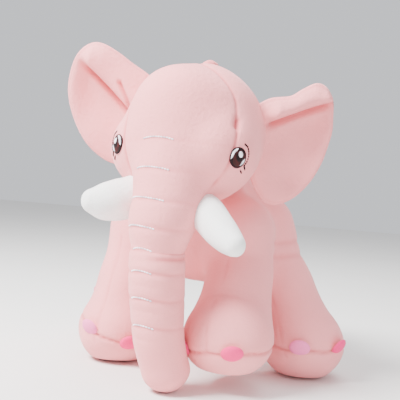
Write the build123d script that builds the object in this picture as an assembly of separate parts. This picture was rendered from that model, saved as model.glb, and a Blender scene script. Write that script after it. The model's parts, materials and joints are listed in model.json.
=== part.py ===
# Standing stuffed elephant: plush covers over soft filling, with a head, a long trunk, two
# ears, two tusks, four splayed legs and a tail that all bend where they are sewn on.
# Millimetres. The elephant faces -Y, its left side is +X, and +Z is up.
# The origin is on the table, under the middle of the whole toy.
from build123d import *
import os
from math import cos, radians, sin

# ---- Fabric, filling and clearances
cover_thickness = 1.6  # short-pile plush with its backing
fill_gap = 0.3  # between a cover and the filling inside it
joint_gap = 0.5  # between pieces that bend against each other
trim_gap = 0.15  # between trim and the cover that it is sewn to
trim_thickness = 0.9  # embroidered patches and stitched threads
stitch_width = 1.4
ball_turn = (37, 0, 23)  # keeps the poles and seams of balls away from each other

# ---- Torso: a rounded barrel that lies along Y
torso_centre = (2, 36, 138)
torso_radius = 60
torso_half_length = 83
neck_centre = (10, -10, 186)
neck_radius = 30
nod_up = 12

# ---- Head
head_centre = (17, -52, 227)
head_radius = 67.5

# ---- Trunk: a muzzle that belongs to the head, then two pieces that bend
brow_centre = (18, -80, 206)
brow_radius = 38
muzzle_centre = (20, -102, 165)
muzzle_radius = 31
crease_centre = (21, -114, 124)
crease_radius = 23.5
rim_radius = 1.0  # the end of each trunk piece is this much wider than the ball in it
bend_centre = (21.5, -110, 62)
bend_radius = 21.5
tip_centre_xy = (24, -99)
tip_radius = 20
trunk_rim_height = 12  # a trunk piece's end stands this far above its bend centre
trunk_stitch_half_angle = 34
head_stitch_heights = (213, 188, 164, 144)
middle_stitch_heights = (122, 104, 82)
tip_stitch_heights = (58,)

# ---- Legs: hip balls, waists, flared feet and domed soles
front_hip_radius = 24.5
hind_hip_radius = 26
ball_step = 0.4  # a limb's tube ends this far inside the ball that it bends on
leg_waist_radius = 26.5
foot_radius = 34
foot_height = 33
ankle_height = 60
ankle_radius = 31
sole_seam_radius = 32.5
sole_height = 20
sole_flat_radius = 17
toenail_half_width = 8.5
toenail_half_height = 7
toenail_thickness = 2.4
toenail_spread = 37  # degrees each side of the toe direction
toenail_rise = 1  # above the sole seam
toenail_stand = 4  # out from the sole seam
toenail_lean = 14
# name: hip centre, foot centre on the table, lift off the table, toe direction from -Y
legs = {
    "front_left": ((57, -14, 128), (65, -58), 15, 2),
    "front_right": ((-60, -10, 128), (-63, -31), 0, 17),
    "hind_left": ((60, 38, 132), (107, 31), 0, 65),
    "hind_right": ((-57, 54, 132), (-109, 59), 0, -60),
}
leg_swing = {"front": (-8, 12), "hind": (-12, 8)}

# ---- Ears, each flat shape cupped to a sphere
ear_half_height = 56
ear_overlap = 6  # the oval reaches this far behind the sewn edge's middle
ear_centre_up = -3
ear_cup_radius = 115
ear_panel = 1.6
ear_padding = 4.5
ear_start = 7  # clear of the head at the sewn edge
# name: side, sewn edge's middle from the head centre in head radii, sweep back, raise, lean,
# half width
ears = {
    "left": (1, (0.874, 0.296, -0.059), 42, -1, 8, 34),
    "right": (-1, (-0.859, 0.237, 0.370), -12, 14, 8, 44),
}
ear_flap = (-15, 15)

# ---- Tusks
tusk_root_radius = 15.5
tusk_tip_radius = 11.5
tusk_length = 47
tusk_flex = 8
# name: root centre, direction of the tip
tusks = {
    "left": ((54, -96, 160), (0.57, -0.52, -0.64)),
    "right": ((-13, -98, 165), (-0.70, -0.64, -0.30)),
}

# ---- Face
eye_half_width = 8.5
eye_half_height = 10.5
# name: side, turn from the front, rise from the head's middle, both in degrees
eyes = {"left": (1, 54, -18), "right": (-1, 44, -16)}
lash_gap = 2.5
lash_width = 1.8
crown_turn = 20
crown_seam_radius = 5.5
crown_seam_rise = 1.1

# ---- Tail
tail_root_radius = 6
tail_tip_radius = 4.5
tail_length = 48
tail_rise = 18  # the tail's root is this many degrees above the torso's middle
tail_tuft_radius = 8.5
tail_flex = 25


def ellipsoid(centre, radii):
    return Pos(*centre) * scale(Sphere(1), by=radii)


def ball(centre, radius):
    return Pos(*centre) * Rot(*ball_turn) * Sphere(radius)


def rod(start, end, start_radius, end_radius):
    a, b = Vector(*start), Vector(*end)
    run = b - a
    if start_radius == end_radius:
        shape = Cylinder(start_radius, run.length)
    else:
        shape = Cone(start_radius, end_radius, run.length)
    return Plane(origin=a + run * 0.5, z_dir=run) * shape


def capsule(start, end, start_radius, end_radius):
    """A tapered rod with a ball at each end."""
    middle = rod(start, end, start_radius - ball_step, end_radius - ball_step)
    return middle + ball(start, start_radius) + ball(end, end_radius)


def tube(sections):
    """Smooth tube through level ellipses, each (centre, (x radius, y radius))."""
    rings = []
    for centre, radii in sections:
        rings.append(Plane(origin=centre) * Ellipse(*radii))
    return loft(rings)


def turn_about(shape, centre, axis, angle):
    return shape.rotate(Axis(centre, axis), angle)


def group(shapes):
    """Several separate solids as one piece."""
    solids = []
    for shape in shapes:
        solids.extend(shape.solids())
    return Compound(children=solids)


def shell_and_fill(form):
    """The cover is the outer cover_thickness of a form; the filling is what is inside it."""
    cover = form(0) - form(cover_thickness)
    filling = form(cover_thickness + fill_gap)
    return cover, filling


# ---- Legs
def leg_side(name):
    return name.split("_")[0]


def hip_radius(name):
    return front_hip_radius if leg_side(name) == "front" else hind_hip_radius


def swing_axis(name):
    """Front legs swing forwards and outwards, clear of the trunk; hind legs swing fore and aft."""
    if name == "front_left":
        return (-1, -1, 0)
    if name == "front_right":
        return (-1, 1, 0)
    return (-1, 0, 0)


def leg_sections(name, inset):
    hip, foot, lift, _ = legs[name]
    base = lift + sole_height + inset
    profile = (
        (base, sole_seam_radius),
        (lift + foot_height, foot_radius),
        (lift + ankle_height, ankle_radius),
        (0.5 * (lift + ankle_height + hip[2]), leg_waist_radius),
        (hip[2], hip_radius(name) - ball_step),
    )
    low = lift + foot_height
    sections = []
    for height, radius in profile:
        along = max(0.0, (height - low) / (hip[2] - low))
        x = foot[0] + (hip[0] - foot[0]) * along
        y = foot[1] + (hip[1] - foot[1]) * along
        sections.append(((x, y, height), (radius - inset, radius - inset)))
    return sections


def leg_form(name):
    def form(inset):
        hip = legs[name][0]
        return tube(leg_sections(name, inset)) + ball(hip, hip_radius(name) - inset)

    return form


def hip_room(name, inset):
    """The room that a leg's top needs over its whole swing, as a ball and a widening cone."""
    hip = legs[name][0]
    knee = leg_sections(name, 0)[3][0]
    radius = hip_radius(name) + joint_gap + inset
    widest_swing = max(abs(angle) for angle in leg_swing[leg_side(name)])
    drift = (Vector(*hip) - Vector(*knee)).length * sin(radians(widest_swing))
    cone = rod(hip, knee, radius - ball_step, leg_waist_radius + joint_gap + inset + drift)
    return [ball(hip, radius), cone]


def sole(name):
    _, foot, lift, _ = legs[name]
    with BuildPart() as part:
        with BuildSketch(Plane.XZ):
            with BuildLine():
                Line((0, 0), (sole_flat_radius, 0))
                ThreePointArc(
                    (sole_flat_radius, 0),
                    (sole_seam_radius - 3.5, sole_height * 0.38),
                    (sole_seam_radius, sole_height - trim_gap),
                )
                Line((sole_seam_radius, sole_height - trim_gap), (0, sole_height - trim_gap))
                Line((0, sole_height - trim_gap), (0, 0))
            make_face()
        revolve(axis=Axis.Z)
    return Pos(foot[0], foot[1], lift) * part.part


def toenails(name):
    _, foot, lift, toes = legs[name]
    nail = ellipsoid((0, 0, 0), (toenail_half_width, toenail_thickness / 2, toenail_half_height))
    out = sole_seam_radius + toenail_stand
    pieces = []
    for side in (-1, 1):
        turn = toes + side * toenail_spread
        angle = radians(turn)
        place = Pos(
            foot[0] + out * sin(angle),
            foot[1] - out * cos(angle),
            lift + sole_height + toenail_rise,
        )
        pieces.append(place * Rot(0, 0, turn) * Rot(toenail_lean, 0, 0) * nail)
    return group(pieces)


# ---- Torso, head and trunk
def head_ball(grow):
    return ball(head_centre, head_radius + grow)


def stop_short(start, end, gap):
    """The point this far before the end of a straight run."""
    a, b = Vector(*start), Vector(*end)
    return b - (b - a).normalized() * gap


def muzzle(inset):
    end = stop_short(muzzle_centre, crease_centre, trunk_rim_height + inset)
    brow, middle = brow_radius - inset, muzzle_radius - inset
    form = capsule(brow_centre, muzzle_centre, brow, middle)
    return form + rod(muzzle_centre, end, middle - ball_step, crease_radius + rim_radius - inset)


def head_front(inset):
    return head_ball(-inset) + muzzle(inset)


def head_form(inset):
    form = head_front(inset)
    form -= ball(neck_centre, neck_radius + joint_gap + inset)
    form -= ball(crease_centre, crease_radius + joint_gap + inset)
    for name in tusks:
        for room in tusk_room(name, inset):
            form -= room
    return form


def barrel(inset):
    """A round barrel with ball ends, turned about its length."""
    radius = torso_radius - inset
    run = torso_half_length - torso_radius
    diagonal = radius * cos(radians(45))
    outline = (
        ThreePointArc((0, run + radius), (diagonal, run + diagonal), (radius, run)),
        Line((radius, run), (radius, -run)),
        ThreePointArc((radius, -run), (diagonal, -run - diagonal), (0, -run - radius)),
        Line((0, -run - radius), (0, run + radius)),
    )
    return Pos(*torso_centre) * revolve(make_face(outline), Axis.Y)


def torso_form(inset):
    form = barrel(inset)
    for angle in (0, nod_up):
        form -= turn_about(head_ball(2 * joint_gap + inset), neck_centre, (-1, 0, 0), angle)
    form += ball(neck_centre, neck_radius - inset)
    for name in legs:
        for room in hip_room(name, inset):
            form -= room
    return form


def trunk_middle_form(inset):
    end = stop_short(crease_centre, bend_centre, trunk_rim_height + inset)
    top = crease_radius - inset
    form = rod(crease_centre, end, top - ball_step, bend_radius + rim_radius - inset)
    form += ball(crease_centre, top)
    return form - ball(bend_centre, bend_radius + joint_gap + inset)


def trunk_tip_form(inset):
    end = (tip_centre_xy[0], tip_centre_xy[1], tip_radius)
    return capsule(bend_centre, end, bend_radius - inset, tip_radius - inset)


def stitch_rows(form, stations):
    """Rows of thread that wrap the front of the trunk, lying on a form's surface."""
    band = form(-trim_gap - trim_thickness) - form(-trim_gap)
    rows = []
    for station in stations:
        row = band & stitch_wedge(*station)
        rows.append(max(row.solids(), key=lambda piece: piece.volume))
    return group(rows)


def stitch_wedge(x, y, height):
    """A thin level wedge that opens forwards from the trunk's middle."""
    reach = 60
    half = reach * sin(radians(trunk_stitch_half_angle))
    corners = ((x, y), (x + half, y - reach), (x - half, y - reach))
    face = make_face(Polyline(*corners, close=True))
    return Pos(0, 0, height - stitch_width / 2) * extrude(face, stitch_width)


# ---- Ears
def ear_place(name):
    side, base, sweep, lift, lean, _ = ears[name]
    middle = Vector(*head_centre) + Vector(*base) * head_radius
    return Pos(*middle) * Rot(0, 0, side * sweep) * Rot(0, -side * lift, 0) * Rot(lean, 0, 0)


def ear_hinge(name):
    """The middle of the sewn edge, and the line along it that the ear flaps about."""
    place = ear_place(name)
    along = (place * Pos(0, 0, 1)).position - place.position
    return place.position, along * -ears[name][0]


def ear_centre_out(name):
    return ears[name][5] - ear_overlap


def ear_outline(name, inset):
    oval = Ellipse(ears[name][5] - inset, ear_half_height - inset)
    oval = Pos(ear_centre_out(name), ear_centre_up) * oval
    beyond = 4 * ear_half_height
    return oval & (Pos(ear_start + inset + beyond / 2, 0) * Rectangle(beyond, beyond))


def ear_layer(name, near, thickness, inset):
    """One layer of the ear: a slice of a hollow sphere, cut to the ear's outline."""
    cup = (ear_centre_out(name), -ear_cup_radius, ear_centre_up)
    outline = Plane.XZ * ear_outline(name, inset)
    prism = extrude(outline, -ear_cup_radius / 2) + extrude(outline, ear_cup_radius / 2)
    layer = ball(cup, ear_cup_radius + near + thickness) - ball(cup, ear_cup_radius + near)
    layer = layer & prism
    if ears[name][0] < 0:
        layer = layer.mirror(Plane.YZ)
    layer = ear_place(name) * layer
    seam, axis = ear_hinge(name)
    for angle in ear_flap:
        layer -= turn_about(head_ball(joint_gap), seam, axis, -angle)
    return layer


# ---- Tusks
def tusk_ends(name):
    root, direction = tusks[name]
    start = Vector(*root)
    return start, start + Vector(*direction).normalized() * tusk_length


def tusk_form(name):
    def form(inset):
        root, end = tusk_ends(name)
        return capsule(root, end, tusk_root_radius - inset, tusk_tip_radius - inset)

    return form


def tusk_room(name, inset):
    """The room that a tusk's root needs as it bends, as a list of shapes."""
    root, end = tusk_ends(name)
    grow = joint_gap + inset
    upper = rod(root, end, tusk_root_radius + grow, tusk_tip_radius + grow)
    room = [ball(root, tusk_root_radius + grow), upper]
    for angle in (-tusk_flex, tusk_flex):
        room.append(turn_about(upper, root, (0, 0, 1), angle))
    return room


# ---- Face trim
def head_patch(outline, turn, rise, near, thickness):
    """A thin patch of a 2D outline, laid on the head's surface where a ray leaves the head."""
    plug = extrude(outline, 90)
    spot = Pos(*head_centre) * Rot(0, 0, turn) * Rot(-rise, 0, 0) * Rot(90, 0, 0)
    band = head_ball(near + thickness) - head_ball(near)
    return band & (spot * plug)


def eye(name):
    side, turn, rise = eyes[name]
    outline = Ellipse(eye_half_width, eye_half_height)
    return head_patch(outline, side * turn, rise, trim_gap, trim_thickness)


def lashes(name):
    side, turn, rise = eyes[name]
    near = Ellipse(eye_half_width + lash_gap, eye_half_height + lash_gap)
    far = Ellipse(eye_half_width + lash_gap + lash_width, eye_half_height + lash_gap + lash_width)
    keep = Pos(side * (eye_half_width + 10), 3) * Rectangle(20, 18)
    return head_patch((far - near) & keep, side * turn, rise, trim_gap, trim_thickness)


def crown_seam():
    """The puckered end of the head's seams, gathered with thread on the crown."""
    radii = (crown_seam_radius, crown_seam_radius * 1.4, 2 * crown_seam_rise)
    bump = Pos(*head_centre) * Rot(-crown_turn, 0, 0) * ellipsoid((0, 0, head_radius), radii)
    return bump - head_ball(trim_gap)


# ---- Tail
def tail_root():
    x, y, z = torso_centre
    out = torso_radius + joint_gap + tail_root_radius
    back = torso_half_length - torso_radius + out * cos(radians(tail_rise))
    return (x, y + back, z + out * sin(radians(tail_rise)))


def tail_end():
    x, y, z = tail_root()
    return (x, y + tail_length * 0.35, z - tail_length * 0.94)


def tail_form(inset):
    return capsule(tail_root(), tail_end(), tail_root_radius - inset, tail_tip_radius - inset)


def tail_tuft():
    x, y, z = tail_end()
    radii = (tail_tuft_radius, tail_tuft_radius, tail_tuft_radius * 1.6)
    tuft = ellipsoid((x, y + 1, z - tail_tuft_radius), radii)
    return tuft - tail_form(-trim_gap)


# ---- The whole toy, node by node
def build():
    pieces = {}
    pieces["torso_cover"], pieces["torso_filling"] = shell_and_fill(torso_form)
    pieces["head_cover"], pieces["head_filling"] = shell_and_fill(head_form)
    pieces["trunk_middle_cover"], pieces["trunk_middle_filling"] = shell_and_fill(trunk_middle_form)
    pieces["trunk_tip_cover"], pieces["trunk_tip_filling"] = shell_and_fill(trunk_tip_form)
    for name in legs:
        pieces[name + "_leg_cover"], pieces[name + "_leg_filling"] = shell_and_fill(leg_form(name))
        pieces[name + "_sole"] = sole(name)
        pieces[name + "_toenails"] = toenails(name)
    for name in ears:
        outer = ear_panel + fill_gap
        pieces[name + "_ear_front"] = ear_layer(name, 0, ear_panel, 0)
        pieces[name + "_ear_padding"] = ear_layer(name, outer, ear_padding, 3)
        pieces[name + "_ear_back"] = ear_layer(name, outer + ear_padding + fill_gap, ear_panel, 0)
    for name in tusks:
        pieces[name + "_tusk_cover"], pieces[name + "_tusk_filling"] = shell_and_fill(tusk_form(name))
    for name in eyes:
        pieces[name + "_eye"] = eye(name)
        pieces[name + "_lashes"] = lashes(name)
    pieces["crown_seam"] = crown_seam()
    head_rows = [(brow_centre[0], brow_centre[1], height) for height in head_stitch_heights]
    pieces["forehead_stitches"] = stitch_rows(head_front, head_rows)
    middle_rows = [(crease_centre[0], crease_centre[1], height) for height in middle_stitch_heights]
    pieces["trunk_stitches"] = stitch_rows(trunk_middle_form, middle_rows)
    tip_rows = [(bend_centre[0], bend_centre[1], height) for height in tip_stitch_heights]
    pieces["tip_stitches"] = stitch_rows(trunk_tip_form, tip_rows)
    pieces["tail_cover"], pieces["tail_filling"] = shell_and_fill(tail_form)
    pieces["tail_tuft"] = tail_tuft()
    return pieces


def middle_of(pieces):
    """The middle of the whole toy's box, on the table."""
    boxes = [shape.bounding_box() for shape in pieces.values()]
    low_x = min(box.min.X for box in boxes)
    high_x = max(box.max.X for box in boxes)
    low_y = min(box.min.Y for box in boxes)
    high_y = max(box.max.Y for box in boxes)
    return (low_x + high_x) / 2, (low_y + high_y) / 2, 0


def write(pieces):
    os.makedirs("parts", exist_ok=True)
    to_origin = Pos(*middle_of(pieces)).inverse()
    for name, piece in pieces.items():
        shape = to_origin * piece
        shape.label = name
        export_step(shape, os.path.join("parts", name + ".step"))
        print(name, len(shape.solids()), round(shape.volume))


write(build())
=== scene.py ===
import json
from itertools import product
from math import cos, degrees, pi, radians, sin, sqrt

import bmesh
import bpy
import numpy as np
from mathutils import Euler, Matrix, Vector


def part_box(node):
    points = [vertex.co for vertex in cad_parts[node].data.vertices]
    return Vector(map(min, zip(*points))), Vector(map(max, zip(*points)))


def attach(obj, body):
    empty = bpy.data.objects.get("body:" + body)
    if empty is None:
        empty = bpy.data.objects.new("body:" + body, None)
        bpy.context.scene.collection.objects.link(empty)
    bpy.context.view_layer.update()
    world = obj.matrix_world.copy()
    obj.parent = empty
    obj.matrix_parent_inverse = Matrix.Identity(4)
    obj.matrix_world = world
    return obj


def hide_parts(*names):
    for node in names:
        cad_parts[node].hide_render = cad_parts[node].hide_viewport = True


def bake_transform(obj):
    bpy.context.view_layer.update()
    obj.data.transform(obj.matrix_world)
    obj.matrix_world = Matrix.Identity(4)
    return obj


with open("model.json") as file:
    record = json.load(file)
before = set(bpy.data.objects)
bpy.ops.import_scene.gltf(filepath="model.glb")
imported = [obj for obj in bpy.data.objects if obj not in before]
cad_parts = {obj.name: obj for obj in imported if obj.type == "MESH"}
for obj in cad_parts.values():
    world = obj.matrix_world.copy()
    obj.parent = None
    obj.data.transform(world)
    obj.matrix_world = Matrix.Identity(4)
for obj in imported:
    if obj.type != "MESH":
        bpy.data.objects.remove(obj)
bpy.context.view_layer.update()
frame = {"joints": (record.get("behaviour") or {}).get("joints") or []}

bl_info = {
    "name": "Stuffed Elephant Workshop",
    "version": (1, 0, 0),
    "blender": (4, 5, 0),
    "location": "3D View > Sidebar > Elephant",
    "description": "Sews a standing plush elephant round its fixed frame, one piece at a time",
    "category": "Object",
}

# Shapes are worked out in millimetres and turned into metres when a mesh is made.
MM = 0.001
JOINTS = {joint["name"]: joint for joint in frame["joints"]}
LEGS = ("front_left", "front_right", "hind_left", "hind_right")
SIDES = {"left": 1, "right": -1}
# Width of the cells that each skin's mesh starts from.
CELLS = {"head": 3.2, "trunk": 3, "body": 4, "tusk": 2.6, "crown": 1.6, "tail": 2.2, "tuft": 2}
# Room left round a shape when its mesh is made.
ROOM = {"head": 8, "body": 10, "tusk": 30, "crown": 8, "tail": 20}
UNDER_TABLE = -4


# ---- places in the frame
def joint_place(name):
    return np.array(JOINTS[name]["pos_m"]) / MM


def joint_axis(name):
    return np.array(JOINTS[name]["axis"], float)


def node_box(node):
    low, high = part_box(node)
    return np.array(low) / MM, np.array(high) / MM


def unit(vector):
    vector = np.asarray(vector, float)
    return vector / np.linalg.norm(vector)


def metres(point):
    return tuple(float(value) * MM for value in point)


HEAD_LOW, HEAD_HIGH = node_box("head_cover")
HEAD_RADIUS = (HEAD_HIGH[0] - HEAD_LOW[0]) / 2
HEAD_MIDDLE = np.array([
    (HEAD_LOW[0] + HEAD_HIGH[0]) / 2,
    HEAD_HIGH[1] - HEAD_RADIUS,
    HEAD_HIGH[2] - HEAD_RADIUS,
])
CREASE = joint_place("trunk_lift")
BEND = joint_place("trunk_tip_curl")
TIP_LOW, TIP_HIGH = node_box("trunk_tip_cover")
TORSO_LOW, TORSO_HIGH = node_box("torso_cover")
NECK = joint_place("head_nod")


# ---- smooth solid shapes
def oval(centre, radii, turn=(0, 0, 0)):
    """Distance to an oval ball."""
    spin = np.array(Euler([radians(angle) for angle in turn]).to_matrix())
    centre, radii = np.array(centre, float), np.array(radii, float)

    def distance(points):
        local = (points - centre) @ spin
        near = np.linalg.norm(local / radii, axis=1)
        slope = np.linalg.norm(local / radii**2, axis=1) + 1e-9
        return near * (near - 1) / slope

    return distance


def limb(points, radii, steps=6):
    """Distance to a tapered limb along a smooth path through points."""
    path = smooth_path(np.array(points, float), steps)
    sizes = smooth_path(np.array(radii, float)[:, None], steps)[:, 0]

    def distance(spots):
        best = np.full(len(spots), 1e9)
        for a, b, ra, rb in zip(path[:-1], path[1:], sizes[:-1], sizes[1:]):
            run = b - a
            along = np.clip((spots - a) @ run / (run @ run), 0, 1)
            gap = np.linalg.norm(spots - a - along[:, None] * run, axis=1)
            best = np.minimum(best, gap - ra - along * (rb - ra))
        return best

    return distance


def smooth_path(points, steps):
    """Points along a curve that passes smoothly through the given ones."""
    padded = np.vstack([2 * points[0] - points[1], points, 2 * points[-1] - points[-2]])
    curve = []
    for p0, p1, p2, p3 in zip(padded[:-3], padded[1:-2], padded[2:-1], padded[3:]):
        for t in np.arange(steps) / steps:
            curve.append(0.5 * (2 * p1 + (p2 - p0) * t + (2 * p0 - 5 * p1 + 4 * p2 - p3) * t**2
                                + (3 * p1 - p0 - 3 * p2 + p3) * t**3))
    curve.append(points[-1])
    return np.array(curve)


def joined(shapes, softness):
    """The union of shapes, rounded where they meet."""
    def distance(points):
        total = shapes[0](points)
        for shape in shapes[1:]:
            other = shape(points)
            mix = np.clip(0.5 + 0.5 * (other - total) / softness, 0, 1)
            total = other * (1 - mix) + total * mix - softness * mix * (1 - mix)
        return total

    return distance


def slopes(shape, points, step=0.2):
    value = shape(points)
    moved = [(shape(points + step * axis) - value) / step for axis in np.eye(3)]
    return value, np.stack(moved, 1)


def settle(shape, points, rounds=3):
    """Moves points onto a shape's surface."""
    for _ in range(rounds):
        value, slope = slopes(shape, points)
        points = points - (value / (np.sum(slope**2, 1) + 1e-6))[:, None] * slope
    return points


def net(shape, low, high, cell):
    """A closed mesh of four-sided faces round a shape."""
    counts = np.ceil((high - low) / cell).astype(int) + 1
    lines = [low[i] + cell * np.arange(counts[i]) for i in range(3)]
    grid = np.stack(np.meshgrid(*lines, indexing="ij"), -1)
    inside = (shape(grid.reshape(-1, 3)) < 0).reshape(counts)
    filled = sum(
        inside[i:counts[0] - 1 + i, j:counts[1] - 1 + j, k:counts[2] - 1 + k].astype(int)
        for i, j, k in product((0, 1), repeat=3)
    )
    live = (filled > 0) & (filled < 8)
    number = np.full(live.shape, -1)
    number[live] = np.arange(live.sum())
    points = low + cell * (np.argwhere(live) + 0.5)
    faces = []
    for axis in range(3):
        ahead = np.roll(inside, -1, axis)
        change = inside != ahead
        edge = np.argwhere(change)
        edge = edge[(edge > 0).all(1) & (edge < counts - 1).all(1)]
        one, two = (axis + 1) % 3, (axis + 2) % 3
        ring = []
        for a, b in ((-1, -1), (0, -1), (0, 0), (-1, 0)):
            cells = edge.copy()
            cells[:, one] += a
            cells[:, two] += b
            ring.append(number[tuple(cells.T)])
        quads = np.stack(ring, 1)
        leaving = inside[tuple(edge.T)]
        quads[~leaving] = quads[~leaving][:, ::-1]
        faces.append(quads)
    return points, np.vstack(faces)


def relax(shape, points, faces, rounds):
    """Evens out a mesh without leaving the shape."""
    pairs = np.vstack([faces[:, [i, (i + 1) % 4]] for i in range(4)])
    count = np.bincount(pairs[:, 0], minlength=len(points)).astype(float)
    for _ in range(rounds):
        total = np.stack([np.bincount(pairs[:, 0], points[pairs[:, 1], k], len(points))
                          for k in range(3)], 1)
        points = settle(shape, 0.4 * points + 0.6 * total / count[:, None], 1)
    return settle(shape, points, 2)


# ---- meshes and objects
def put_in_scene(name, data):
    holder = bpy.data.objects.new(name, data)
    bpy.context.scene.collection.objects.link(holder)
    return holder


def new_object(name, points, faces):
    mesh = bpy.data.meshes.new(name)
    mesh.from_pydata([metres(point) for point in points], [], [list(map(int, face)) for face in faces])
    mesh.validate()
    mesh.shade_smooth()
    return put_in_scene(name, mesh)


def band_faces(rings, spokes, first=0, step=None):
    """Four-sided faces from each ring of points to the next, which starts a step further on."""
    step = step or spokes
    faces = []
    for ring in range(rings):
        for spoke in range(spokes):
            a = first + ring * step + spoke
            b = first + ring * step + (spoke + 1) % spokes
            faces.append((a, b, b + step, a + step))
    return faces


def mesh_arrays(piece):
    mesh = piece.data
    points = np.empty(len(mesh.vertices) * 3)
    mesh.vertices.foreach_get("co", points)
    faces = [tuple(face.vertices) for face in mesh.polygons]
    return points.reshape(-1, 3) / MM, faces


def vertex_normals(piece):
    normals = np.empty(len(piece.data.vertices) * 3)
    piece.data.vertices.foreach_get("normal", normals)
    return normals.reshape(-1, 3)


def set_points(piece, points):
    piece.data.vertices.foreach_set("co", (points * MM).astype(np.float32).ravel())
    piece.data.update()


def apply_modifiers(piece):
    graph = bpy.context.evaluated_depsgraph_get()
    mesh = bpy.data.meshes.new_from_object(piece.evaluated_get(graph))
    piece.modifiers.clear()
    old, piece.data = piece.data, mesh
    bpy.data.meshes.remove(old)


def subdivide(piece):
    modifier = piece.modifiers.new("finer", "SUBSURF")
    modifier.levels = modifier.render_levels = 1
    apply_modifiers(piece)


def mark(piece, name, values):
    """Stores a number at each vertex, for the material."""
    layer = piece.data.attributes.new(name, "FLOAT", "POINT")
    layer.data.foreach_set("value", np.asarray(values, np.float32))


def sculpt(name, shape, low, high, cell, relief):
    """A sewn skin over a shape, with relief for its seams and folds, and painted shade down in them."""
    points, faces = net(shape, np.array(low, float), np.array(high, float), cell)
    points = relax(shape, settle(shape, points), faces, 4)
    piece = new_object(name, points, faces)
    subdivide(piece)
    points, _ = mesh_arrays(piece)
    set_points(piece, settle(shape, points, 2))
    points, _ = mesh_arrays(piece)
    height, depth = relief(points)
    set_points(piece, points + vertex_normals(piece) * height[:, None])
    # The crease attribute holds painted shade for the seams and folds.
    mark(piece, "crease", depth)
    piece.data.shade_smooth()
    return piece


def plain(points):
    """The relief of a skin that has no seams or folds."""
    return np.zeros(len(points)), np.zeros(len(points))


def part_of(name, whole, keep):
    """A piece cut from a whole skin, which keeps the whole's shading at the cut."""
    points, faces = mesh_arrays(whole)
    normals = vertex_normals(whole)
    depth = np.empty(len(points))
    whole.data.attributes["crease"].data.foreach_get("value", depth)
    chosen = [face for face, use in zip(faces, keep) if use]
    used = np.unique(np.concatenate([np.array(face) for face in chosen]))
    renumber = np.full(len(points), -1)
    renumber[used] = np.arange(len(used))
    piece = new_object(name, points[used], [[renumber[v] for v in face] for face in chosen])
    mark(piece, "crease", depth[used])
    piece.data.normals_split_custom_set_from_vertices([tuple(n) for n in normals[used]])
    return piece


def near_line(points, line):
    """Distance from each point to a line through a few places."""
    best = np.full(len(points), 1e9)
    for a, b in zip(line[:-1], line[1:]):
        run = b - a
        along = np.clip((points - a) @ run / (run @ run), 0, 1)
        best = np.minimum(best, np.linalg.norm(points - a - along[:, None] * run, axis=1))
    return best


def ripple(points, size, seed=0):
    """Smooth irregular waves about 1 high, for hand-stuffed unevenness."""
    value = np.zeros(len(points))
    for k in range(5):
        angle = 2.4 * k + seed
        way = unit([cos(angle), sin(angle), cos(1.7 * angle + 1)])
        value += np.sin(points @ way * (2 * pi / size) * (1 + 0.23 * k) + 1.3 * k + seed)
    return value / 3


# ---- the user's sizes and colours
def colour_setting(name, description, default):
    return bpy.props.FloatVectorProperty(
        name=name, description=description, subtype="COLOR", size=3, min=0, max=1, default=default)


def length_setting(name, description, default, high, low=0):
    return bpy.props.FloatProperty(
        name=name, description=description, subtype="DISTANCE", unit="LENGTH", min=low, max=high,
        default=default)


class ElephantLook(bpy.types.PropertyGroup):
    plush_colour: colour_setting("Plush", "Colour of the short pile plush", (0.96, 0.34, 0.35))
    # Painted shade: the plush is mixed towards this colour down in seams and folds, where shade falls.
    crease_shade_colour: colour_setting(
        "Crease", "Colour of the plush down in seams and folds", (0.62, 0.085, 0.10))
    tusk_colour: colour_setting("Tusks", "Colour of the white plush", (0.92, 0.92, 0.90))
    nail_colour: colour_setting("Toenails", "Colour of the felt toenails", (0.86, 0.035, 0.20))
    # Painted highlight: two toenails get this paler colour for the light on them.
    highlit_nail_colour: colour_setting(
        "Pale toenails", "Colour of the paler felt toenails", (0.90, 0.20, 0.44))
    eye_colour: colour_setting("Eyes", "Colour of the dark embroidery", (0.010, 0.003, 0.004))
    thread_colour: colour_setting("White thread", "Colour of the white thread", (0.86, 0.82, 0.90))
    pile_length: length_setting("Pile", "Height of the bump that the pile makes", 0.0006, 0.003)
    seam_width: length_setting("Seam width", "Width of a sewn seam's groove", 0.0016, 0.01, 0.0005)
    seam_depth: length_setting("Seam depth", "How far a seam pulls the plush in", 0.0012, 0.005)
    ear_thickness: length_setting("Ear thickness", "Thickness of a padded ear", 0.0095, 0.03, 0.002)


def look():
    return bpy.context.scene.elephant_look


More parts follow.
